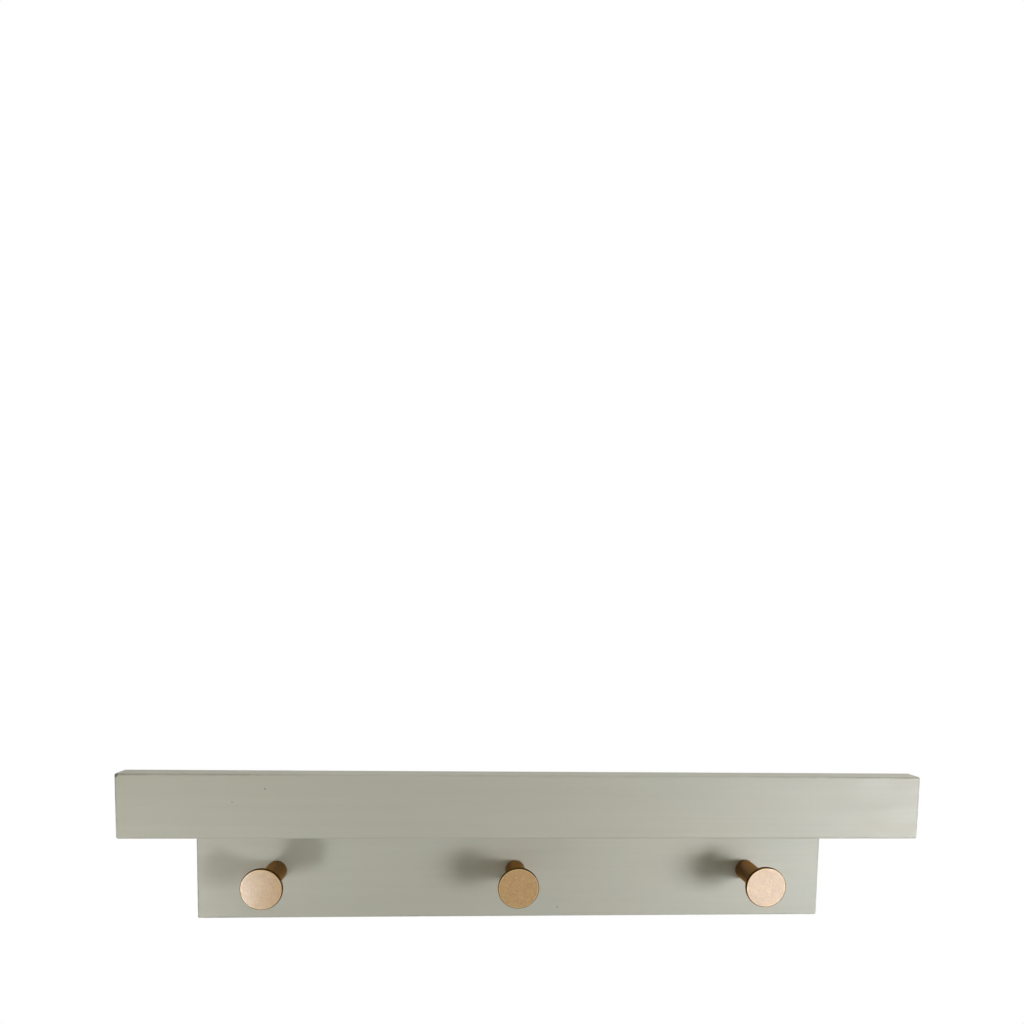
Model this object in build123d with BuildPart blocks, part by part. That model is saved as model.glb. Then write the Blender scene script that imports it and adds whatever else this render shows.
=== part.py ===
from build123d import *
from math import radians, tan
import os

# Wall-hung peg rail with a shelf.
#
# Three boards of one stock make a stepped profile: the peg rail lies against the wall,
# the deck stands out from the rail's top, and the lip stands up along the deck's front.
# Millimetres. The origin is the middle of the rail's back face, where it meets the wall.
# +X runs along the boards, +Y points into the wall and +Z is up.

# ---------------------------------------------------------------- driving dimensions

# Boards
board_length = 600.0
board_thickness = 16.0
rail_height = 136.0
deck_depth = 136.0  # from the rail's front to the lip's back
lip_height = 48.0
arris = 1.0  # chamfer along the eased edges

# Pegs
peg_names = ["peg_left", "peg_centre", "peg_right"]
peg_inset = 74.0  # outer pegs' axes from the boards' ends
peg_height = 46.0  # peg's axis above the rail's bottom edge
peg_projection = 52.0  # from the rail's front to the peg's face
peg_head_radius = 18.5
peg_head_thickness = 3.0
peg_head_chamfer = 0.4  # round the front of the head
peg_post_radius = 9.5

# Pan-headed machine screws that hold the pegs from behind the rail
bolt_radius = 2.0
bolt_head_radius = 4.0
bolt_head_height = 2.6
bolt_head_chamfer = 0.8
bolt_engagement = 13.0  # length inside the peg
bolt_slip = 0.25  # clearance round the bolt in the wood
bolt_head_slip = 0.5  # room round the head in its counterbore
bolt_sink = 1.6  # head's top below the rail's back

# Wooden dowels, glued into blind holes
dowel_radius = 3.0
dowel_slip = 0.1  # glue line round a dowel
dowel_reach = 20.0  # length inside the deck
dowel_cover = 5.0  # wood left between a blind hole and the board's face
lip_dowel_count = 3
lip_dowel_inset = 60.0  # outer dowels' axes from the boards' ends

# Countersunk wood screws from behind the rail into the deck
shelf_screw_count = 3
shelf_screw_inset = 60.0  # outer screws' axes from the boards' ends
shelf_screw_radius = 2.0
shelf_screw_head_radius = 4.0
shelf_screw_bite = 30.0  # length inside the deck
shelf_screw_sink = 0.5  # head's top below the rail's back
shelf_screw_slip = 0.25  # clearance round the shank in the rail

# Keyhole hanger plates, let into the rail's back
hanger_inset = 100.0  # plates' middles from the rail's ends
hanger_drop = 43.0  # from the rail's top edge to the plate's middle
hanger_length = 50.0
hanger_width = 18.0
hanger_thickness = 2.0
hanger_sink = 0.2  # plate's face below the rail's back
hanger_slip = 0.2  # room round the plate in its recess
keyhole_entry_radius = 4.5
keyhole_slot_radius = 2.6
keyhole_entry_drop = 4.0  # entry's centre below the plate's middle
keyhole_rise = 10.0  # from the entry's centre to the slot's end centre
keyhole_pocket_slip = 1.5  # pocket's wall outside the entry
keyhole_pocket_depth = 6.0  # room behind the plate for a wall screw's head

# Countersunk screws that hold the plates
hanger_screw_inset = 5.5  # from the plate's end
hanger_screw_radius = 1.5
hanger_screw_head_radius = 2.9
hanger_screw_sink = 0.1  # head's top below the plate's face
hanger_screw_bite = 9.0  # length inside the rail
hanger_screw_slip = 0.2  # clearance round the shank in the plate

# Shared by all fasteners
countersink_angle = 90.0
countersink_slip = 0.1  # room round a countersunk head
thread_slip = 0.05  # clearance where threads bite
hole_spare = 1.0  # blind holes run this far past what they hold

# ------------------------------------------------------------------- derived places

rail_top = rail_height / 2
rail_front = -board_thickness
deck_front = rail_front - deck_depth
deck_middle = rail_top - board_thickness / 2
deck_bottom = rail_top - board_thickness
lip_middle = deck_bottom + lip_height / 2
peg_z = peg_height - rail_height / 2
peg_count = len(peg_names)
peg_pitch = (board_length - 2 * peg_inset) / (peg_count - 1)

bolt_seat = bolt_sink + bolt_head_height
bolt_length = board_thickness - bolt_seat + bolt_engagement

dowel_blind = board_thickness - dowel_cover
lip_dowel_pitch = (board_length - 2 * lip_dowel_inset) / (lip_dowel_count - 1)

countersink_slope = tan(radians(countersink_angle / 2))  # radius gained per unit of depth
shelf_screw_pitch = (board_length - 2 * shelf_screw_inset) / (shelf_screw_count - 1)

hanger_spacing = board_length - 2 * hanger_inset
hanger_z = rail_top - hanger_drop
hanger_seat = hanger_sink + hanger_thickness
hanger_screw_spacing = hanger_length - 2 * hanger_screw_inset
keyhole_middle = keyhole_rise / 2 - keyhole_entry_drop


def facing_wall(y, z):
    """A plane at depth y and height z that looks into the wall. Holes in it run to -Y."""
    return Plane(origin=(0, y, z), x_dir=(-1, 0, 0), z_dir=(0, 1, 0))


def facing_room(y, z):
    """A plane at depth y and height z that looks into the room. Holes in it run to +Y."""
    return Plane(origin=(0, y, z), x_dir=(1, 0, 0), z_dir=(0, -1, 0))


def countersunk_hole(head_radius, sink, radius):
    """A through hole for a screw whose head lies a little below the surface."""
    CounterSinkHole(
        radius=radius,
        counter_sink_radius=head_radius + countersink_slip + sink * countersink_slope,
        counter_sink_angle=countersink_angle,
    )


# ---------------------------------------------------------------------------- boards

# Each board's arrises are eased by a small chamfer, except those that lie in a joint.

with BuildPart() as shelf_lip:
    with BuildSketch(facing_wall(deck_front, lip_middle)):
        Rectangle(board_length, lip_height)
    extrude(amount=-board_thickness)
    flush = shelf_lip.edges().filter_by(Axis.X).group_by(Axis.Z)[0].sort_by(Axis.Y)[-1]
    chamfer(shelf_lip.edges().filter_by(lambda edge: edge != flush), length=arris)
    with Locations(facing_wall(deck_front, deck_middle)):
        with GridLocations(lip_dowel_pitch, 0, lip_dowel_count, 1):
            Hole(dowel_radius + dowel_slip, depth=dowel_blind)
shelf_lip.part.label = "shelf_lip"

with BuildPart() as shelf_deck:
    with BuildSketch(facing_wall(rail_front, deck_middle)):
        Rectangle(board_length, board_thickness)
    extrude(amount=-deck_depth)
    chamfer(shelf_deck.edges().filter_by(Axis.Y), length=arris)
    with Locations(facing_room(deck_front, deck_middle)):
        with GridLocations(lip_dowel_pitch, 0, lip_dowel_count, 1):
            Hole(dowel_radius + dowel_slip, depth=dowel_reach + hole_spare)
    with Locations(facing_wall(rail_front, deck_middle)):
        with GridLocations(shelf_screw_pitch, 0, shelf_screw_count, 1):
            Hole(shelf_screw_radius + thread_slip, depth=shelf_screw_bite + hole_spare)
shelf_deck.part.label = "shelf_deck"

with BuildPart() as peg_rail:
    with BuildSketch(facing_wall(0, 0)):
        Rectangle(board_length, rail_height)
    extrude(amount=-board_thickness)
    flush = peg_rail.edges().filter_by(Axis.X).group_by(Axis.Z)[-1].sort_by(Axis.Y)[0]
    chamfer(peg_rail.edges().filter_by(lambda edge: edge != flush), length=arris)
    # countersunk holes for the screws into the deck
    with Locations(facing_wall(0, deck_middle)):
        with GridLocations(shelf_screw_pitch, 0, shelf_screw_count, 1):
            countersunk_hole(
                shelf_screw_head_radius,
                shelf_screw_sink,
                shelf_screw_radius + shelf_screw_slip,
            )
    # stepped holes for the pegs' machine screws
    with Locations(facing_wall(0, peg_z)):
        with GridLocations(peg_pitch, 0, peg_count, 1):
            CounterBoreHole(
                radius=bolt_radius + bolt_slip,
                counter_bore_radius=bolt_head_radius + bolt_head_slip,
                counter_bore_depth=bolt_seat,
            )
    # recesses that the hanger plates lie in, and a deeper pocket behind each keyhole
    with BuildSketch(facing_wall(0, hanger_z)):
        with GridLocations(hanger_spacing, 0, 2, 1):
            SlotOverall(hanger_length + 2 * hanger_slip, hanger_width + 2 * hanger_slip, 90)
    extrude(amount=-hanger_seat, mode=Mode.SUBTRACT)
    with BuildSketch(facing_wall(-hanger_seat, hanger_z + keyhole_middle)):
        with GridLocations(hanger_spacing, 0, 2, 1):
            SlotCenterToCenter(keyhole_rise, 2 * (keyhole_entry_radius + keyhole_pocket_slip), 90)
    extrude(amount=-keyhole_pocket_depth, mode=Mode.SUBTRACT)
    with Locations(facing_wall(-hanger_seat, hanger_z)):
        with GridLocations(hanger_spacing, hanger_screw_spacing, 2, 2):
            Hole(hanger_screw_radius + thread_slip, depth=hanger_screw_bite + hole_spare)
peg_rail.part.label = "peg_rail"

# --------------------------------------------------------------- pieces in own frames

# Each of these is drawn once, with +Z pointing out of the face that it sits in.

# A peg turned in one piece: a thin round head on a plain post, tapped from behind.
with BuildPart() as peg:
    with BuildSketch(Plane.XZ) as profile:
        with BuildLine():
            Polyline(
                (0, 0),
                (peg_post_radius, 0),
                (peg_post_radius, peg_projection - peg_head_thickness),
                (peg_head_radius, peg_projection - peg_head_thickness),
                (peg_head_radius, peg_projection),
                (0, peg_projection),
                close=True,
            )
        make_face()
        rim = profile.vertices().group_by(Axis.X)[-1].sort_by(Axis.Y)[-1]
        chamfer(rim, length=peg_head_chamfer)
    revolve(axis=Axis.Z)
    with Locations(-Plane.XY):
        Hole(bolt_radius + thread_slip, depth=bolt_engagement + hole_spare)

# A pan-headed machine screw, its head's top at the origin.
with BuildPart() as bolt:
    with BuildSketch(Plane.XY.offset(-bolt_head_height)):
        Circle(bolt_head_radius)
    extrude(amount=bolt_head_height)
    chamfer(bolt.edges().group_by(Axis.Z)[-1], length=bolt_head_chamfer)
    with BuildSketch(Plane.XY.offset(-bolt_head_height)):
        Circle(bolt_radius)
    extrude(amount=-bolt_length)

# A dowel, with the joint at the origin and its long end, in the deck, along +Z.
with BuildPart() as dowel:
    with BuildSketch(Plane.XY.offset(hole_spare - dowel_blind)):
        Circle(dowel_radius)
    extrude(amount=dowel_blind - hole_spare + dowel_reach)


def countersunk_screw(head_radius, radius, length):
    """A countersunk wood screw without thread and point, its head's top at the origin."""
    with BuildPart() as screw:
        with BuildSketch(Plane.XZ):
            with BuildLine():
                Polyline(
                    (0, 0),
                    (head_radius, 0),
                    (radius, (radius - head_radius) / countersink_slope),
                    (radius, -length),
                    (0, -length),
                    close=True,
                )
            make_face()
        revolve(axis=Axis.Z)
    return screw.part


shelf_screw = countersunk_screw(
    shelf_screw_head_radius,
    shelf_screw_radius,
    board_thickness - shelf_screw_sink + shelf_screw_bite,
)

hanger_screw = countersunk_screw(
    hanger_screw_head_radius,
    hanger_screw_radius,
    hanger_thickness - hanger_screw_sink + hanger_screw_bite,
)

# A keyhole hanger plate with round ends, its outer face at the origin.
with BuildPart() as hanger:
    with BuildSketch():
        SlotOverall(hanger_length, hanger_width, 90)
        with Locations((0, -keyhole_entry_drop)):
            Circle(keyhole_entry_radius, mode=Mode.SUBTRACT)
        with Locations((0, keyhole_middle)):
            SlotCenterToCenter(keyhole_rise, 2 * keyhole_slot_radius, 90, mode=Mode.SUBTRACT)
    extrude(amount=-hanger_thickness)
    with GridLocations(0, hanger_screw_spacing, 1, 2):
        countersunk_hole(
            hanger_screw_head_radius,
            hanger_screw_sink,
            hanger_screw_radius + hanger_screw_slip,
        )

# ------------------------------------------------- hangers and fasteners in their rows

with BuildPart() as keyhole_hangers:
    with Locations(facing_wall(-hanger_sink, hanger_z)):
        with GridLocations(hanger_spacing, 0, 2, 1):
            add(hanger.part)
keyhole_hangers.part.label = "keyhole_hangers"

with BuildPart() as peg_bolts:
    with Locations(facing_wall(-bolt_sink, peg_z)):
        with GridLocations(peg_pitch, 0, peg_count, 1):
            add(bolt.part)
peg_bolts.part.label = "peg_bolts"

with BuildPart() as lip_dowels:
    with Locations(facing_wall(deck_front, deck_middle)):
        with GridLocations(lip_dowel_pitch, 0, lip_dowel_count, 1):
            add(dowel.part)
lip_dowels.part.label = "lip_dowels"

with BuildPart() as shelf_screws:
    with Locations(facing_wall(-shelf_screw_sink, deck_middle)):
        with GridLocations(shelf_screw_pitch, 0, shelf_screw_count, 1):
            add(shelf_screw)
shelf_screws.part.label = "shelf_screws"

with BuildPart() as hanger_screws:
    with Locations(facing_wall(-hanger_sink - hanger_screw_sink, hanger_z)):
        with GridLocations(hanger_spacing, hanger_screw_spacing, 2, 2):
            add(hanger_screw)
hanger_screws.part.label = "hanger_screws"

# ------------------------------------------------------------------------------ pegs

placed_pegs = []

for number, name in enumerate(peg_names):
    with BuildPart() as placed_peg:
        with Locations(facing_room(rail_front, peg_z)):
            with Locations(((number - (peg_count - 1) / 2) * peg_pitch, 0)):
                add(peg.part)
    placed_peg.part.label = name
    placed_pegs.append(placed_peg.part)

# --------------------------------------------------------------------------- export

os.makedirs("parts", exist_ok=True)
export_step(shelf_lip.part, "parts/shelf_lip.step")
export_step(shelf_deck.part, "parts/shelf_deck.step")
export_step(peg_rail.part, "parts/peg_rail.step")
export_step(keyhole_hangers.part, "parts/keyhole_hangers.step")
export_step(peg_bolts.part, "parts/peg_bolts.step")
export_step(lip_dowels.part, "parts/lip_dowels.step")
export_step(shelf_screws.part, "parts/shelf_screws.step")
export_step(hanger_screws.part, "parts/hanger_screws.step")
for part in placed_pegs:
    export_step(part, f"parts/{part.label}.step")
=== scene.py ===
# %% [markdown]
# # A peg rail with a small shelf
#
# The real object hangs on a wall. Three boards of one stock make a stepped profile: a
# rail that lies against the wall, a deck that stands out from its top, and a lip along
# the deck's front edge. The boards have a satin grey-green paint. Three metal pegs with
# thin round heads stand out of the rail.
#
# Every piece was drawn as a solid, and the solids were packed as one model. This lesson
# loads that model, which stays where it is, and makes what a solid is too plain for: the
# turned pegs with their eased rims, the screws with threads and cross recesses, the
# fluted dowels, and a finish for every surface.
#
# The origin is the middle of the rail's back, on the wall. +X runs along the boards, +Y
# points into the wall and +Z is up. Blender counts in metres.

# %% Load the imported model
import math

import bpy
import numpy as np
from mathutils import Matrix, Vector


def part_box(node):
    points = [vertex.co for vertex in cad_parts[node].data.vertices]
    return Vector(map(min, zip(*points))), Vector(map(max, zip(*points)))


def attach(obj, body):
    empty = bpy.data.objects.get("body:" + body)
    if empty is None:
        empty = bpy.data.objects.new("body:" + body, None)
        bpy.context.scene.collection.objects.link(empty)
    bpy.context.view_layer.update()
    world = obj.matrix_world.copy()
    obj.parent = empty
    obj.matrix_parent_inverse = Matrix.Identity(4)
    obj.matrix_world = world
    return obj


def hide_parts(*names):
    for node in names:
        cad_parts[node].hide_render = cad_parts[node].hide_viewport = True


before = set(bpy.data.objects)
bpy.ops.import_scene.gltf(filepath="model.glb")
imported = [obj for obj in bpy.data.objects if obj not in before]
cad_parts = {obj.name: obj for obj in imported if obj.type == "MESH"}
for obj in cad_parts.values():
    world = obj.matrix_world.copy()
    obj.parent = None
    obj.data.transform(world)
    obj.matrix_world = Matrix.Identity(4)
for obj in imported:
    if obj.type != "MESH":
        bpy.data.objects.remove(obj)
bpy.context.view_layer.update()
MM = 0.001
print("boards, pegs and fasteners:", ", ".join(sorted(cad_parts)))

# %% [markdown]
# ## A profile with eased corners
#
# A peg comes off a lathe. The turner cuts a profile and breaks every sharp corner with a
# file, because a sharp rim would cut a coat's loop. The same idea makes the shape here:
# first the profile as a few corner points, then a small arc in place of each corner.
# Modelling a cylinder and adding a Bevel modifier would do as well, but with a computed
# profile each corner has its own radius, and the numbers read like a turner's drawing.

# %% Round the corners of a profile
def eased_profile(corners, radii, steps=6, guard=0.05):
    """Rows of (radius, height) along a broken line whose inner corners are arcs.

    An arc touches both runs of its corner, so it starts radius / tan(half the corner's
    angle) away from the corner, and its centre lies radius / sin(half the angle) away
    on the line that halves the angle. Its points turn evenly about that centre. One
    more point just outside each end of the arc keeps the straight runs flat in light.
    """
    corners = np.array(corners, float)
    corner = corners[1:-1]
    back = corners[:-2] - corner
    ahead = corners[2:] - corner
    back /= np.linalg.norm(back, axis=1, keepdims=True)
    ahead /= np.linalg.norm(ahead, axis=1, keepdims=True)
    half = np.arccos(np.clip((back * ahead).sum(1, keepdims=True), -1, 1)) / 2
    radius = np.array(radii, float)[:, None]
    reach = radius / np.tan(half)
    middle = (back + ahead) / np.linalg.norm(back + ahead, axis=1, keepdims=True)
    centre = corner + middle * radius / np.sin(half)
    start = (corner + back * reach - centre)[:, None]
    stop = (corner + ahead * reach - centre)[:, None]
    turn = (np.pi - 2 * half)[:, None]
    share = np.linspace(0, 1, steps + 1)[None, :, None]
    arc = np.sin((1 - share) * turn) * start + np.sin(share * turn) * stop
    arc = centre[:, None] + arc / np.sin(turn)
    first = (corner + back * (reach + guard))[:, None]
    last = (corner + ahead * (reach + guard))[:, None]
    rows = np.concatenate([first, arc, last], axis=1).reshape(-1, 2)
    return np.vstack([corners[:1], rows, corners[-1:]])


def refined(profile, longest):
    """The same profile with more rows: none is further from the next than longest."""
    step = np.linalg.norm(np.diff(profile, axis=0), axis=1)
    along = np.concatenate([[0], np.cumsum(step)])
    wanted = np.union1d(along, np.arange(0, along[-1], longest))
    wanted = wanted[np.concatenate([[True], np.diff(wanted) > 1e-6])]
    return np.column_stack([np.interp(wanted, along, profile[:, k]) for k in (0, 1)])


peg_low, peg_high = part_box("peg_left")
peg_length = (peg_high.y - peg_low.y) / MM
head_radius = (peg_high.x - peg_low.x) / 2 / MM
post_radius, head_thickness = 9.5, 3.0
bore_radius, bore_depth = 2.05, 14.0
rim_radius, back_radius = 0.85, 0.3
neck = peg_length - head_thickness
peg_profile = eased_profile(
    [
        (0, bore_depth),
        (bore_radius, bore_depth),
        (bore_radius, 0),
        (post_radius, 0),
        (post_radius, neck),
        (head_radius, neck),
        (head_radius, peg_length),
        (0, peg_length),
    ],
    [0.1, 0.15, 0.25, 0.8, back_radius, rim_radius],
)
print(f"peg: head {2 * head_radius:.1f} mm across, {peg_length:.1f} mm long")

# %% [markdown]
# ## From rows to a closed skin
#
# Carried round an axis, each row of the profile becomes a ring of points, and the whole
# shape is a grid: rings one way, points of a ring the other way. Four neighbours make a
# face. The first and last rows lie on the axis, so each of them shrinks to one point,
# a pole, and the skin is closed. If every ring runs anticlockwise about the way that the
# profile climbs, all faces look outwards, and then the volume under them is positive,
# which is a good test.

# %% Turn a grid of rings into a mesh
def turned(profile, columns):
    """Rings of a turned shape: x = radius * cos(angle), y = radius * sin(angle)."""
    angle = np.arange(columns) * 2 * np.pi / columns
    radius, height = profile[:, :1], profile[:, 1:]
    level = np.broadcast_to(height, (len(profile), columns))
    return np.stack([radius * np.cos(angle), radius * np.sin(angle), level], axis=-1)


def closed_skin(name, rings):
    """A mesh from rings of points, as an array of copies x rows x columns x 3.

    Faces join a point, its neighbour on the ring and the same two on the next ring.
    Each copy's first and last row is one point. The attribute "along" holds how far a
    point lies along the profile, so that a finish can follow the surface.
    """
    copies, rows, columns, _ = rings.shape
    inner = rings[:, 1:-1].reshape(copies, -1, 3)
    points = np.concatenate([rings[:, :1, 0], inner, rings[:, -1:, 0]], axis=1)
    per_copy = points.shape[1]
    points = points.reshape(-1, 3)
    ring = 1 + np.arange((rows - 2) * columns).reshape(rows - 2, columns)
    beside = np.roll(ring, -1, axis=1)
    quads = np.stack([ring[:-1], beside[:-1], beside[1:], ring[1:]], axis=-1)
    low_pole = np.stack([np.zeros(columns, int), beside[0], ring[0]], axis=-1)
    top = np.full(columns, per_copy - 1)
    high_pole = np.stack([top, ring[-1], beside[-1]], axis=-1)
    triangles = np.concatenate([low_pole, high_pole])
    offset = (np.arange(copies) * per_copy)[:, None, None]
    quads = (quads.reshape(1, -1, 4) + offset).reshape(-1, 4)
    triangles = (triangles[None] + offset).reshape(-1, 3)
    mesh = bpy.data.meshes.new(name)
    mesh.from_pydata(points.tolist(), [], quads.tolist() + triangles.tolist())
    step = np.linalg.norm(np.diff(rings[0], axis=0), axis=-1).mean(axis=1)
    row = np.concatenate([[0], np.cumsum(step)])
    along = np.concatenate([row[:1], np.repeat(row[1:-1], columns), row[-1:]])
    attribute = mesh.attributes.new("along", "FLOAT", "POINT")
    attribute.data.foreach_set("value", np.tile(along, copies).astype(np.float32))
    mesh.shade_smooth()
    fan = np.concatenate([quads[:, [0, 1, 2]], quads[:, [0, 2, 3]], triangles])
    a, b, c = (points[fan[:, k]] for k in range(3))
    volume = (a * np.cross(b, c)).sum() / 6 / MM**3
    assert volume > 0, "the skin is inside out"
    print(f"{name}: {len(fan)} triangles, {volume:.0f} cubic mm")
    return mesh


PEG_COLUMNS = 192
peg_rings = turned(peg_profile, PEG_COLUMNS)
print("a peg's grid:", peg_rings.shape[:2])

# %% [markdown]
# ## Putting a piece where its solid is
#
# Each piece is worked out in its own frame, in millimetres, with its axis along +Z. On
# the object, the pegs point into the room and the fasteners point into the wall. Two
# turns do that: a matrix says what becomes of own x, y and z. The places are read from
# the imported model's boxes, so a piece always lies where its solid lies. Its points are
# written in the object's frame at once and the Blender object stays at the origin,
# unturned. It rides on the body "root" and stands for the solid, which is then hidden.

# %% Place the rings and make the piece
INTO_WALL = np.array([[-1, 0, 0], [0, 0, 1], [0, 1, 0]], float)
INTO_ROOM = np.array([[1, 0, 0], [0, 0, -1], [0, 1, 0]], float)


def set_in_place(rings, facing, spots):
    """Copies of the rings at each spot: the turned points times 0.001, plus the spot."""
    return np.array(spots, float)[:, None, None] + MM * rings @ facing.T


def dressed_piece(name, rings, node, sharp=None):
    """A piece from rings that stands for a node, whose solid is hidden.

    Edges that turn by more than sharp degrees stay sharp in the shading.
    """
    mesh = closed_skin(name, rings)
    if sharp:
        mesh.set_sharp_from_angle(angle=math.radians(sharp))
    piece = bpy.data.objects.new(name, mesh)
    bpy.context.scene.collection.objects.link(piece)
    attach(piece, "root")
    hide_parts(node)
    return piece


pegs, peg_axes = [], []
for node in ("peg_left", "peg_centre", "peg_right"):
    low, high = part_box(node)
    foot = ((low.x + high.x) / 2, high.y, (low.z + high.z) / 2)
    rings = set_in_place(peg_rings, INTO_ROOM, [foot])
    pegs.append(dressed_piece("turned_" + node, rings, node))
    peg_axes.append(foot[0])

# %% [markdown]
# ## Screws
#
# A machine screw from behind the rail holds each peg, and wood screws hold the deck and
# the hanger plates. A screw is a turned shape with two things added. Its thread is a
# wave that climbs as it goes round: the height divided by the pitch, less the share of a
# turn, and only the fraction of that counts. Less, and not plus, makes the thread
# right-handed. Its driver recess is a cross that the head's top sinks into. Both are
# functions of the ring and the place on it, so they are worked out for the whole grid at
# once. Cutting the thread and cross with Boolean modifiers would be slow, and would leave
# ragged edges.

# %% Work out a screw
def screw_rings(profile, thread, drive, columns=48):
    """Rings of a screw with its head's top at height 0 and its shank down -Z.

    thread is (lowest height, highest height, pitch, depth, sharpness). The radius falls
    by depth times a wave: twice the fraction of (height / pitch - angle / full turn),
    less one, its size times sharpness, and at most one. It fades out within a pitch of
    both ends, and gets shallow where the point gets thin.
    drive is (arm length, arm width, depth). The head's top falls by depth times how far
    inside a bar of that length and width a point lies, for the deeper of two bars. A
    bar's floor slopes up along its outer part, and its side walls are 0.14 mm wide.
    """
    rings = turned(profile, columns)
    angle = np.arange(columns) * 2 * np.pi / columns
    radius = np.hypot(rings[..., 0], rings[..., 1])
    height = rings[..., 2]
    lowest, highest, pitch, depth, sharpness = thread
    phase = np.mod(height / pitch - angle / (2 * np.pi), 1)
    groove = np.clip(np.abs(2 * phase - 1) * sharpness, 0, 1)
    rise = np.clip((height - lowest) / pitch, 0, 1) * np.clip((highest - height) / pitch, 0, 1)
    full = radius[(height > lowest) & (height < highest)].max()
    cut = depth * groove * rise * np.clip(radius / full, 0, 1)
    share = np.where(radius > 0, 1 - cut / np.maximum(radius, 1e-9), 1)
    rings[..., :2] *= share[..., None]
    length, width, sink = drive
    slope, wall = 0.55 * length, 0.14
    across, up = np.abs(rings[..., 0]), np.abs(rings[..., 1])

    def bar(p, q):
        return np.clip((length - p) / slope, 0, 1) * np.clip((width / 2 - q) / wall, 0, 1)

    cross = np.maximum(bar(across, up), bar(up, across))
    on_top = height > -0.02
    rings[..., 2] -= np.where(on_top, sink * cross, 0)
    return rings


low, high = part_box("peg_bolts")
bolt_reach = (high.y - low.y) / MM
bolt_head = (high.z - low.z) / 2 / MM
bolt_radius, bolt_head_height, bolt_tip = 2.0, 2.6, 0.4
bolt_profile = refined(
    eased_profile(
        [
            (0, -bolt_reach),
            (bolt_radius - bolt_tip, -bolt_reach),
            (bolt_radius, bolt_tip - bolt_reach),
            (bolt_radius, -bolt_head_height),
            (bolt_head, -bolt_head_height),
            (bolt_head, 0),
            (0, 0),
        ],
        [0.05, 0.1, 0.15, 0.15, 1.2],
    ),
    longest=0.14,
)
bolt_neck, bolt_pitch, bolt_thread_depth = 0.6, 0.7, 0.4
bolt_thread = (-bolt_reach, -bolt_head_height - bolt_neck, bolt_pitch, bolt_thread_depth, 1.0)
bolt_cross = (2.3, 1.0, 1.7)
screw_crease = 38
bolt_rings = screw_rings(bolt_profile, bolt_thread, bolt_cross)
spots = [(x, high.y, (low.z + high.z) / 2) for x in peg_axes]
peg_bolts = dressed_piece(
    "machine_screws_for_pegs",
    set_in_place(bolt_rings, INTO_WALL, spots),
    "peg_bolts",
    sharp=screw_crease,
)

# %% [markdown]
# The wood screws have a head with a conical underside, which draws itself into the
# wood, a plain neck, a coarse thread with a narrow crest, and a gimlet point. The same
# function makes them from another profile.

# %% Make the wood screws
def wood_screw(length, head, radius, pitch, drive):
    """Rings of a countersunk wood screw: a cone of 45 degrees under a flat head.

    The point is 2.6 times as long as the shank's radius, and the plain neck with the
    head is 0.36 of the length.
    """
    under, head_edge = radius - head, 0.12
    tip_radius, tip_height, point = 0.25, 0.15, 2.6 * radius
    profile = eased_profile(
        [
            (0, -length),
            (tip_radius, tip_height - length),
            (radius, point - length),
            (radius, under),
            (head, -head_edge),
            (head, 0),
            (0, 0),
        ],
        [0.05, 0.6, 0.4, 0.04, 0.04],
        steps=4,
        guard=0.02,
    )
    plain, thread_depth, sharpness = 0.36 * length, 0.28 * radius, 2.4
    thread = (-length, -plain, pitch, thread_depth, sharpness)
    return screw_rings(refined(profile, pitch / 9), thread, drive)


low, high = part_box("shelf_screws")
head = (high.z - low.z) / 2 / MM
length = (high.y - low.y) / MM
deck_screw = wood_screw(length, head, radius=2.0, pitch=1.8, drive=(2.4, 1.05, 1.9))
deck_screw_count = 3
row = np.linspace(low.x + head * MM, high.x - head * MM, deck_screw_count)
spots = [(x, high.y, (low.z + high.z) / 2) for x in row]
shelf_screws = dressed_piece(
    "wood_screws_for_shelf",
    set_in_place(deck_screw, INTO_WALL, spots),
    "shelf_screws",
    sharp=screw_crease,
)

low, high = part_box("hanger_screws")
head = 2.9
length = (high.y - low.y) / MM
plate_screw = wood_screw(length, head, radius=1.5, pitch=1.3, drive=(1.75, 0.8, 1.3))
spots = [
    (x, high.y, z)
    for x in (low.x + head * MM, high.x - head * MM)
    for z in (low.z + head * MM, high.z - head * MM)
]
hanger_screws = dressed_piece(
    "wood_screws_for_hangers",
    set_in_place(plate_screw, INTO_WALL, spots),
    "hanger_screws",
    sharp=screw_crease,
)

# %% [markdown]
# ## Dowels
#
# Glued dowels join the lip to the deck. A shop dowel has flutes along its side, which
# let air and spare glue out of a blind hole, and a chamfer at each end so that it finds
# its hole. The flutes are a wave round the ring: the radius falls by the flute's depth
# times a high power of a cosine, which makes narrow grooves with broad lands between.

# %% Make the fluted dowels
low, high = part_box("lip_dowels")
dowel_radius = (high.z - low.z) / 2 / MM
dowel_length = (high.y - low.y) / MM
tip_width, tip_length = 0.7, 0.9
dowel_profile = refined(
    eased_profile(
        [
            (0, 0),
            (dowel_radius - tip_width, 0),
            (dowel_radius, tip_length),
            (dowel_radius, dowel_length - tip_length),
            (dowel_radius - tip_width, dowel_length),
            (0, dowel_length),
        ],
        [0.1, 0.3, 0.3, 0.1],
    ),
    longest=1.0,
)
dowel_columns = 160
dowel_rings = turned(dowel_profile, dowel_columns)
flutes, flute_depth = 20, 0.22
around = np.arange(dowel_columns) * 2 * np.pi / dowel_columns
body = (dowel_profile[:, :1] > dowel_radius - tip_width / 2).astype(float)
fall = body * flute_depth * (0.5 + 0.5 * np.cos(flutes * around)) ** 3
dowel_rings[..., :2] *= (1 - fall / dowel_radius)[..., None]
dowel_count = 3
row = np.linspace(low.x + dowel_radius * MM, high.x - dowel_radius * MM, dowel_count)
spots = [(x, low.y, (low.z + high.z) / 2) for x in row]
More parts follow.
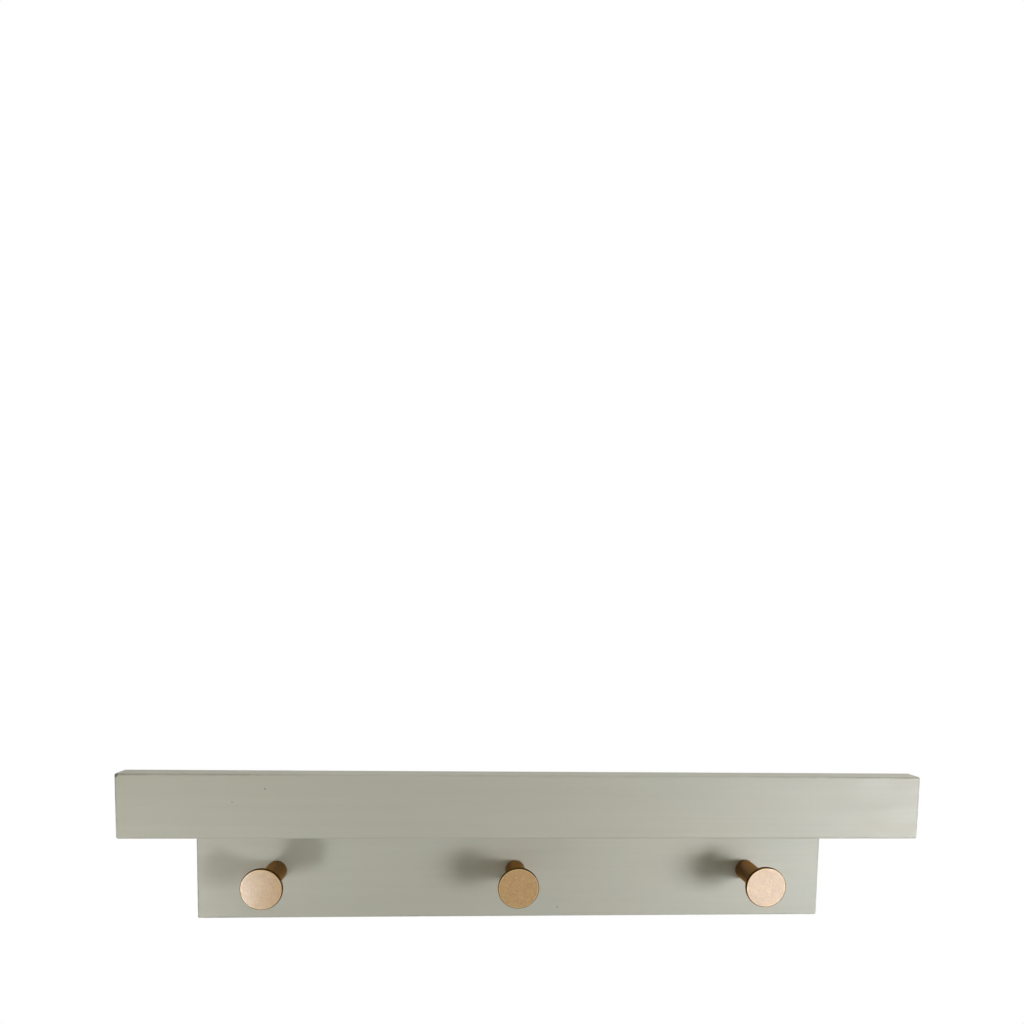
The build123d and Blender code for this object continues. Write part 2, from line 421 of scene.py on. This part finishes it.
lip_dowels = dressed_piece(
    "fluted_dowels",
    set_in_place(dowel_rings, INTO_WALL, spots),
    "lip_dowels",
)

# %% [markdown]
# ## A bench for finishes
#
# A finish is a node tree: textures go in, and one shader comes out. A small class keeps
# the trees readable. `put` adds a node and joins its inputs, each given as a number, a
# colour or another node's output. The other methods are for the nodes that come up again
# and again. All patterns are laid out in Object coordinates, in metres, so a noise scale
# of 100 has features about a centimetre wide.

# %% Shorthand for node trees
# A Mix node has sockets for numbers, vectors and colours side by side, and many share a
# name. These are the numbers of the ones that mix colours.
MIX_SHARE, MIX_FIRST, MIX_SECOND, MIX_COLOUR = 0, 6, 7, 2


class Finish:
    """One material and short ways to add nodes to it."""

    def __init__(self, name):
        self.material = bpy.data.materials.new(name)
        self.material.use_nodes = True
        self.tree = self.material.node_tree
        self.shader = self.tree.nodes["Principled BSDF"]
        self.place = self.put("ShaderNodeTexCoord").outputs["Object"]

    def join(self, socket, value):
        """Give an input a value, or link it to another node's output."""
        if isinstance(value, bpy.types.NodeSocket):
            self.tree.links.new(value, socket)
        else:
            socket.default_value = value

    def put(self, kind, inputs=(), **settings):
        """Add a node, set it up, and fill its inputs, given by number or name."""
        node = self.tree.nodes.new(kind)
        for key, value in settings.items():
            setattr(node, key, value)
        for key, value in dict(inputs).items():
            self.join(node.inputs[key], value)
        return node

    def sum(self, operation, *values):
        """One step of arithmetic, of any kind."""
        return self.put("ShaderNodeMath", enumerate(values), operation=operation).outputs[0]

    def vector(self, operation, *values):
        """One step of arithmetic on vectors."""
        node = self.put("ShaderNodeVectorMath", enumerate(values), operation=operation)
        return node.outputs["Value" if operation == "DISTANCE" else "Vector"]

    def noise(self, stretch, detail=2.0, rough=0.5):
        """Noise from 0 to 1 whose features are 1 / stretch metres long on each axis."""
        mapping = {"Vector": self.place, "Scale": stretch}
        vector = self.put("ShaderNodeMapping", mapping).outputs["Vector"]
        look = {"Vector": vector, "Scale": 1.0, "Detail": detail, "Roughness": rough}
        return self.put("ShaderNodeTexNoise", look).outputs["Fac"]

    def ramp(self, value, start, stop, low=0.0, high=1.0):
        """Value eased from low to high while it goes from start to stop."""
        ends = {"From Min": start, "From Max": stop, "To Min": low, "To Max": high}
        ends["Value"] = value
        node = self.put("ShaderNodeMapRange", ends, interpolation_type="SMOOTHSTEP")
        return node.outputs["Result"]

    def blend(self, share, first, second, way="MIX"):
        """Two colours mixed by a share."""
        node = self.put("ShaderNodeMix", data_type="RGBA", blend_type=way)
        for number, value in ((MIX_SHARE, share), (MIX_FIRST, first), (MIX_SECOND, second)):
            self.join(node.inputs[number], value)
        return node.outputs[MIX_COLOUR]

    def bump(self, height, depth, under=None):
        """Make a height from 0 to 1 stand out by depth metres, over another bump."""
        inputs = {"Height": height, "Distance": depth, "Strength": 1.0}
        node = self.put("ShaderNodeBump", inputs)
        if under is not None:
            self.join(node.inputs["Normal"], under)
        return node.outputs["Normal"]

    def wear(self, **sockets):
        """Fill the shader's sockets, with _ for a space in a socket's name."""
        for key, value in sockets.items():
            self.join(self.shader.inputs[key.replace("_", " ")], value)
        return self.material


def rgb(red, green, blue):
    """A colour as linear shares of light, with no see-through."""
    return (red, green, blue, 1.0)


# %% [markdown]
# ## Where a board's edges are
#
# Paint wears off at the edges, so the finish has to know how far the nearest edge is.
# That comes from the board's own box. On a face, one of the three distances to the box's
# sides is zero, and the middle one of the three is how far the nearest edge is. The
# smallest one also tells the skin of the board from its inside.

# %% Measure how far the edges and the skin are
def edge_and_skin(finish, node):
    """The middle one and the smallest one of the distances to the sides of a node's box."""
    low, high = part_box(node)
    centre, half = (low + high) / 2, (high - low) / 2
    from_middle = finish.vector("SUBTRACT", finish.place, tuple(centre))
    inset = finish.vector("SUBTRACT", tuple(half), finish.vector("ABSOLUTE", from_middle))
    side = finish.put("ShaderNodeSeparateXYZ", {"Vector": inset}).outputs
    smallest = finish.sum("MINIMUM", finish.sum("MINIMUM", side[0], side[1]), side[2])
    greatest = finish.sum("MAXIMUM", finish.sum("MAXIMUM", side[0], side[1]), side[2])
    total = finish.sum("ADD", finish.sum("ADD", side[0], side[1]), side[2])
    middle = finish.sum("SUBTRACT", finish.sum("SUBTRACT", total, smallest), greatest)
    return middle, smallest


for node in ("shelf_lip", "shelf_deck", "peg_rail"):
    low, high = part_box(node)
    print(node, "fills", [round(side / MM) for side in high - low], "mm")

# %% [markdown]
# ## Satin paint on boards
#
# The paint is a grey with a little green in it. It was brushed along the boards, so its
# marks are long and thin: noise that is stretched along X. Under them the colour drifts
# in soft patches a hand wide. Along the arrises the paint is darker, in an uneven line,
# most of all towards the ends. The wood shows only where something was cut after
# painting, such as the recesses for the hanger plates.

# %% Paint the boards
PAINT_COOL, PAINT_WARM = rgb(0.442, 0.448, 0.378), rgb(0.457, 0.445, 0.367)
ARRIS_DARK = rgb(0.20, 0.20, 0.15)
BARE_WOOD, BARE_WOOD_DARK = rgb(0.56, 0.40, 0.24), rgb(0.40, 0.26, 0.14)
FLAW_DARK = rgb(0.10, 0.09, 0.06)


def arris_darkening(paint, to_edge, ragged, dark_arris_above):
    """How much darker the paint is along the arrises, from 0 to 1. Away from them it is 0.

    It is most towards the ends, and 0 below a given height. The noise in ragged makes
    the dark line uneven.
    """
    unevenness = paint.sum("MULTIPLY", paint.sum("SUBTRACT", ragged, 0.5), 0.0022)
    close = paint.ramp(paint.sum("ADD", to_edge, unevenness), 0.0017, 0.0004)
    patchy = paint.ramp(paint.noise((7, 22, 22)), 0.35, 0.65, 0.5, 1.0)
    own = paint.put("ShaderNodeSeparateXYZ", {"Vector": paint.place}).outputs
    to_ends = paint.ramp(paint.sum("ABSOLUTE", own[0]), 0.12, 0.27, 0.3, 0.8)
    in_reach = paint.ramp(own[2], dark_arris_above, dark_arris_above + 0.01)
    darkened = paint.sum("MULTIPLY", close, patchy)
    return paint.sum("MULTIPLY", darkened, paint.sum("MULTIPLY", to_ends, in_reach))


def painted(node, marks, dark_arris_above):
    """The paint for one board. marks are (place, radius) of small flaws in it."""
    paint = Finish("paint_on_" + node)
    to_edge, to_skin = edge_and_skin(paint, node)

    patches = paint.noise((9, 14, 14), detail=3, rough=0.55)
    broad = paint.noise((5, 210, 210), detail=2)
    fine = paint.noise((16, 950, 950), detail=3, rough=0.6)
    colour = paint.blend(paint.ramp(patches, 0.32, 0.68), PAINT_COOL, PAINT_WARM)
    streak = paint.sum("ADD", paint.sum("MULTIPLY", broad, 0.6), paint.sum("MULTIPLY", fine, 0.4))
    tone = paint.ramp(streak, 0.3, 0.7, 0.98, 1.02)
    tone = paint.put("ShaderNodeCombineColor", {0: tone, 1: tone, 2: tone}).outputs[0]
    colour = paint.blend(1.0, colour, tone, "MULTIPLY")

    ragged = paint.noise((60, 220, 220), detail=3, rough=0.7)
    # The paint is darker in a thin uneven line along the arrises.
    colour = paint.blend(arris_darkening(paint, to_edge, ragged, dark_arris_above), colour, ARRIS_DARK)
    grain = paint.noise((8, 400, 160), detail=4, rough=0.65)
    wood = paint.blend(paint.ramp(grain, 0.35, 0.7), BARE_WOOD, BARE_WOOD_DARK)
    inside = paint.ramp(to_skin, 0.0007, 0.0010)
    colour = paint.blend(inside, colour, wood)
    for spot, radius in marks:
        gap = paint.vector("DISTANCE", paint.place, spot)
        edge = paint.sum("ADD", gap, paint.sum("MULTIPLY", ragged, radius))
        colour = paint.blend(paint.ramp(edge, 1.6 * radius, 0.9 * radius), colour, FLAW_DARK)

    relief = paint.bump(broad, 0.00003)
    relief = paint.bump(fine, 0.000012, relief)
    relief = paint.bump(paint.noise((700, 700, 700)), 0.00001, relief)
    rough = paint.ramp(paint.noise((40, 120, 120), detail=3), 0.3, 0.7, 0.45, 0.53)
    rough = paint.sum("ADD", rough, paint.sum("MULTIPLY", inside, 0.3))
    return paint.wear(Base_Color=colour, Roughness=rough, Normal=relief)


flaws = {
    "shelf_lip": [
        ((-0.1934, -0.168, 0.0891), 0.0006),
        ((-0.2170, -0.168, 0.0794), 0.0005),
        ((-0.2993, -0.168, 0.0995), 0.0026),
    ],
    "shelf_deck": [],
    "peg_rail": [((0.0414, -0.016, -0.0591), 0.0008)],
}
dark_arris_above = {"shelf_lip": 0.056, "shelf_deck": -1.0, "peg_rail": -1.0}
for node, marks in flaws.items():
    paint = painted(node, marks, dark_arris_above[node])
    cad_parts[node].material_slots[0].material = paint
    print("painted", node, "with", len(marks), "flaws")

# %% [markdown]
# ## Where a peg's face ends
#
# A peg has four kinds of surface: the flat face of its head, a narrow line at the edge of
# that face, the rounded rim with the head's side, and the rest with the post. The
# attribute "along" tells them apart. What is left of it to its greatest value is how far
# a point lies from the middle of the face, along the surface. From the edge of the flat to
# the head's back that way is the head's thickness and a little more for each eased
# corner: its arc less the height that the arc climbs, (pi / 2 - 1) times its radius.

# %% Tell the peg's surfaces apart
metal = Finish("satin_copper_metal")
along = metal.put("ShaderNodeAttribute", attribute_name="along").outputs["Fac"]
whole_way = pegs[0].data.attributes["along"].data[-1].value
from_middle = metal.sum("SUBTRACT", whole_way, along)
flat = (head_radius - rim_radius) * MM
longer_way = (math.pi / 2 - 1) * (rim_radius + back_radius)
head_back = flat + (head_thickness + longer_way) * MM
side = metal.ramp(from_middle, flat, flat + 0.00015)
polish_and_highlight = metal.ramp(from_middle, flat - 0.0005, flat - 0.0002)
before_back = metal.ramp(from_middle, head_back - 0.0004, head_back, 0.9, 0.0)
painted_dark_rim = metal.sum("MULTIPLY", side, before_back)
print(f"the face is flat up to {flat / MM:.2f} mm from its middle")

# %% [markdown]
# ## Satin metal for the pegs
#
# The pegs are copper-coloured metal. The face of the head is blasted, which leaves a fine
# grain and shallow dimples, and has a thin satin lacquer over it. A lamp shows in it as a
# broad pale glow, and the dimples break that glow up where it fades. The post is left as
# turned: smoother and without lacquer, so it mirrors the board behind it, and its copper
# is also painted darker than the head's, as painted shade. The rounded rim and the head's
# side have no lacquer either. A dark line is painted round the face as a painted dark
# reflection, and just inside it a narrow polished line is painted a touch paler, as a
# painted highlight.

# %% Finish the pegs
COPPER_DEEP, COPPER_PALE = rgb(0.46, 0.295, 0.079), rgb(0.55, 0.355, 0.095)
# A touch paler than the face: a painted highlight on the polished line.
PAINTED_HIGHLIGHT_COPPER = rgb(0.56, 0.365, 0.105)
# The turned copper is painted darker than the head's, as painted shade.
SHADED_TURNED_DEEP, SHADED_TURNED_PALE = rgb(0.27, 0.165, 0.100), rgb(0.33, 0.205, 0.130)
# The dark line round the face: a painted dark reflection.
PAINTED_DARK_RIM = rgb(0.06, 0.035, 0.016)
COPPER_AT_GRAZE = rgb(0.80, 0.58, 0.32)

grain = metal.noise((800, 800, 800), detail=2, rough=0.6)
mottle = metal.noise((300, 300, 300), detail=3, rough=0.6)
dimples = metal.noise((560, 560, 560), detail=1)
lathe_marks = metal.put(
    "ShaderNodeTexNoise",
    {"W": along, "Scale": 2200.0, "Detail": 2.0},
    noise_dimensions="1D",
).outputs["Fac"]

speckle = metal.sum("ADD", metal.sum("MULTIPLY", grain, 0.8), metal.sum("MULTIPLY", mottle, 0.2))
speckle = metal.ramp(speckle, 0.38, 0.62)
copper = metal.blend(speckle, COPPER_DEEP, COPPER_PALE)
# The polished line at the face's edge is painted paler, a painted highlight.
copper = metal.blend(polish_and_highlight, copper, PAINTED_HIGHLIGHT_COPPER)
# Beyond the face, the copper is painted darker, as painted shade.
shaded_turned_copper = metal.blend(metal.ramp(mottle, 0.3, 0.7), SHADED_TURNED_DEEP, SHADED_TURNED_PALE)
copper = metal.blend(side, copper, shaded_turned_copper)
# Paint the dark line round the face, a painted dark reflection.
copper = metal.blend(painted_dark_rim, copper, PAINTED_DARK_RIM)

relief = metal.bump(lathe_marks, 0.000006)
relief = metal.bump(grain, metal.ramp(polish_and_highlight, 0.0, 1.0, 0.00006, 0.000003), relief)
relief = metal.bump(dimples, metal.ramp(polish_and_highlight, 0.0, 1.0, 0.00007, 0.0), relief)
satin = metal.ramp(mottle, 0.3, 0.7, 0.86, 0.96)
satin = metal.sum("SUBTRACT", satin, metal.sum("MULTIPLY", polish_and_highlight, 0.22))
satin = metal.sum("SUBTRACT", satin, metal.sum("MULTIPLY", side, 0.36))
lacquer = metal.ramp(speckle, 0.0, 1.0, 0.80, 1.0)
lacquer = metal.sum("MULTIPLY", lacquer, metal.ramp(side, 0.0, 1.0, 1.0, 0.0))
metal.wear(
    Base_Color=copper,
    Metallic=1.0,
    Specular_Tint=COPPER_AT_GRAZE,
    Roughness=satin,
    Normal=relief,
    Coat_Weight=lacquer,
    Coat_Roughness=0.20,
    Coat_IOR=1.9,
    Coat_Normal=relief,
)
for peg in pegs:
    peg.data.materials.append(metal.material)
print("finished", len(pegs), "pegs")

# %% [markdown]
# ## Steel behind the rail
#
# The screws are zinc-plated. Fresh zinc is bright, with a bluish and yellowish drift
# where the plating was passivated. The hanger plates are stamped from strip, so they
# have fine scratches along their length. Both are metals with an uneven roughness.

# %% Finish the screws and the hanger plates
zinc = Finish("zinc_plating")
drift = zinc.noise((160, 160, 160), detail=3)
colour = zinc.blend(zinc.ramp(drift, 0.3, 0.7), rgb(0.58, 0.61, 0.63), rgb(0.66, 0.63, 0.54))
relief = zinc.bump(zinc.noise((2600, 2600, 2600), detail=2), 0.00001)
rough = zinc.ramp(zinc.noise((700, 700, 700), detail=3), 0.3, 0.7, 0.24, 0.42)
zinc.wear(Base_Color=colour, Metallic=1.0, Roughness=rough, Normal=relief)
for piece in (peg_bolts, shelf_screws, hanger_screws):
    piece.data.materials.append(zinc.material)

strip = Finish("stamped_steel")
scratches = strip.noise((2400, 2400, 40), detail=3, rough=0.7)
cloud = strip.noise((90, 90, 90), detail=3)
colour = strip.blend(strip.ramp(cloud, 0.3, 0.7), rgb(0.50, 0.50, 0.50), rgb(0.60, 0.595, 0.575))
relief = strip.bump(scratches, 0.000012)
rough = strip.ramp(scratches, 0.3, 0.7, 0.30, 0.46)
strip.wear(Base_Color=colour, Metallic=1.0, Roughness=rough, Normal=relief)
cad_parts["keyhole_hangers"].material_slots[0].material = strip.material
print("finished the steel pieces")

# %% [markdown]
# ## Beech for the dowels
#
# Beech is a pale pinkish brown with short dark flecks along the grain. The dowels lie
# along Y, so their grain is noise stretched along Y, and the flecks are a second, finer
# noise of which only the highest peaks count.

# %% Finish the dowels
beech = Finish("beech_dowel")
grain = beech.noise((520, 22, 520), detail=4, rough=0.6)
fleck = beech.ramp(beech.noise((1900, 330, 1900), detail=1), 0.60, 0.68)
colour = beech.blend(beech.ramp(grain, 0.3, 0.7), rgb(0.64, 0.46, 0.30), rgb(0.54, 0.37, 0.22))
colour = beech.blend(fleck, colour, rgb(0.34, 0.20, 0.11))
relief = beech.bump(grain, 0.00005)
beech.wear(Base_Color=colour, Roughness=beech.ramp(grain, 0.3, 0.7, 0.55, 0.7), Normal=relief)
lip_dowels.data.materials.append(beech.material)
print("finished the dowels")

# %% [markdown]
# ## Floor and air
#
# The object hangs above a pale floor in a white room. The room's white is for the eye
# and for what the metal mirrors. The boards get only a little light from it, because
# the lamps are to model them. So the world asks what kind of ray arrives: a camera,
# glossy or see-through ray meets white, any other ray a dim warm grey. The floor does
# the same. Near the object it is partly a plain matt floor, which keeps the shadow, and
# it goes over to pure white further out, so that no horizon shows.

# %% Make the floor and the world
def white_to_the_eye(tree):
    """1 for camera, glossy and transmission rays, and 0 for others."""
    path = tree.nodes.new("ShaderNodeLightPath")
    seen = path.outputs["Is Camera Ray"]
    for kind in ("Is Glossy Ray", "Is Transmission Ray"):
        step = tree.nodes.new("ShaderNodeMath")
        step.operation = "MAXIMUM"
        tree.links.new(seen, step.inputs[0])
        tree.links.new(path.outputs[kind], step.inputs[1])
        seen = step.outputs[0]
    return seen


AIR = rgb(0.142, 0.130, 0.084)
world = bpy.data.worlds.new("white_room")
world.use_nodes = True
bpy.context.scene.world = world
air = world.node_tree
colour = air.nodes.new("ShaderNodeMix")
colour.data_type = "RGBA"
colour.inputs[MIX_FIRST].default_value = AIR
colour.inputs[MIX_SECOND].default_value = rgb(1, 1, 1)
air.links.new(white_to_the_eye(air), colour.inputs[MIX_SHARE])
air.links.new(colour.outputs[MIX_COLOUR], air.nodes["Background"].inputs["Color"])
air.nodes["Background"].inputs["Strength"].default_value = 1.0

floor_level, floor_half = -0.62, 12.0
corners = [(-1, -1), (1, -1), (1, 1), (-1, 1)]
points = [(floor_half * x, floor_half * y, floor_level) for x, y in corners]
mesh = bpy.data.meshes.new("pale_floor")
mesh.from_pydata(points, [], [(0, 1, 2, 3)])
floor = bpy.data.objects.new("pale_floor", mesh)
bpy.context.scene.collection.objects.link(floor)

matt = Finish("matt_floor")
cloud = matt.noise((60, 60, 60), detail=3)
pale = matt.blend(cloud, rgb(0.84, 0.84, 0.83), rgb(0.88, 0.88, 0.87))
matt.wear(Base_Color=pale, Roughness=0.9)
glow = matt.put("ShaderNodeEmission", {"Color": rgb(1, 1, 1), "Strength": 1.0}).outputs[0]
away = matt.vector("DISTANCE", matt.place, (0.0, -0.1, floor_level))
share = matt.sum("MULTIPLY", matt.ramp(away, 0.5, 0.86, 0.6, 1.0), white_to_the_eye(matt.tree))
mixed = matt.put("ShaderNodeMixShader", {0: share, 1: matt.shader.outputs[0], 2: glow}).outputs[0]
matt.join(matt.tree.nodes["Material Output"].inputs["Surface"], mixed)
mesh.materials.append(matt.material)
print(f"floor {-floor_level:.2f} m below the rail's middle, air light {AIR[:3]}")

# %% [markdown]
# ## Lamps
#
# Each lamp has one job. A broad one low on the right gives the light that grows towards
# the right end, and the pegs' shadows to the left. A small one low on the left and a
# small one low on the right stand where the lacquer on the outer heads mirrors them, so
# those heads look paler than the middle one. A broad lamp above and in front lights the
# whole front and the tops, another lights the right end, and a last one lights the back.
# A lamp's power is worked out from the light it should give: for a matt board that faces
# a small bare lamp at some distance, the share of its colour that shows is power / (pi
# squared * distance squared). A narrow spread gathers the same power into a beam that is
# several times brighter in its middle, so such a lamp is given a lower level.

# %% Hang the lamps
DAYLIGHT = (0.98, 0.99, 1.06)


def lamp(name, place, aim, width, height, level, spread=180.0, tint=(1, 1, 1), mirrored=True):
    """An oval lamp, bare, that would light what faces it at aim to the given level.

    Spread is the angle of its beam in degrees. One that isn't mirrored lights matt
    surfaces alone, so no steel shows it as a white patch.
    """
    place, aim = Vector(place) * MM, Vector(aim) * MM
    light = bpy.data.lights.new(name, "AREA")
    light.shape = "ELLIPSE"
    light.size, light.size_y = width * MM, height * MM
    light.energy = level * math.pi**2 * (place - aim).length_squared
    light.spread = math.radians(spread)
    light.color = tint
    hung = bpy.data.objects.new(name, light)
    hung.location = place
    hung.rotation_euler = (aim - place).to_track_quat("-Z", "Y").to_euler()
    hung.visible_camera = False
    hung.visible_glossy = mirrored
    bpy.context.scene.collection.objects.link(hung)
    print(f"{name}: {light.energy:.2f} W")


lamp("lamp_right", (1250, -1200, -105), (470, -16, -170), 950, 480, 0.189, spread=68, tint=DAYLIGHT)
lamp("lamp_low", (615, -968, -346), (226, -68, -22), 240, 240, 0.0039, spread=40, tint=DAYLIGHT)
lamp("lamp_left", (-606, -745, -300), (-300, -16, 10), 240, 240, 0.0238, spread=46)
lamp("lamp_high", (-300, -900, 1100), (-100, -168, 76), 900, 700, 0.388)
lamp("lamp_corner", (650, -60, 620), (300, -100, 90), 400, 400, 0.50)
lamp("lamp_behind", (-300, 1500, -50), (0, 0, 0), 900, 900, 0.50, mirrored=False)

# %% [markdown]
# ## Camera
#
# The camera stands close and a little to the left, looks slightly to the right and
# slightly down, and has a wide lens, so the lip looks much longer than the rail behind
# it. Its own axes are worked out from the three angles, because that keeps the roll
# apart from where it looks. The sensor shift slides the frame up without tilting the
# camera, as on a view camera. So the object sits low in the picture, and its upright
# edges stay nearly upright.

# %% Set up the camera
yaw, pitch, roll = (math.radians(a) for a in (3.28, -4.36, 0.91))
ahead = Vector((math.sin(yaw), math.cos(yaw), 0))
forward = math.cos(pitch) * ahead + math.sin(pitch) * Vector((0, 0, 1))
level = Vector((math.cos(yaw), -math.sin(yaw), 0))
upright = level.cross(forward)
right = math.cos(roll) * level + math.sin(roll) * upright
up = math.cos(roll) * upright - math.sin(roll) * level
eye = bpy.data.cameras.new("camera")
eye.sensor_width = 36.0
eye.lens = 25.37
eye.shift_y = 0.174
camera = bpy.data.objects.new("camera", eye)
bpy.context.scene.collection.objects.link(camera)
stand = Vector((-44.71, -695.35, 203.59)) * MM
turn = Matrix((right, up, -forward)).transposed().to_4x4()
camera.matrix_world = Matrix.Translation(stand) @ turn
bpy.context.scene.camera = camera
bpy.context.scene.view_settings.view_transform = "Standard"
print("camera at", [round(c, 3) for c in camera.location])
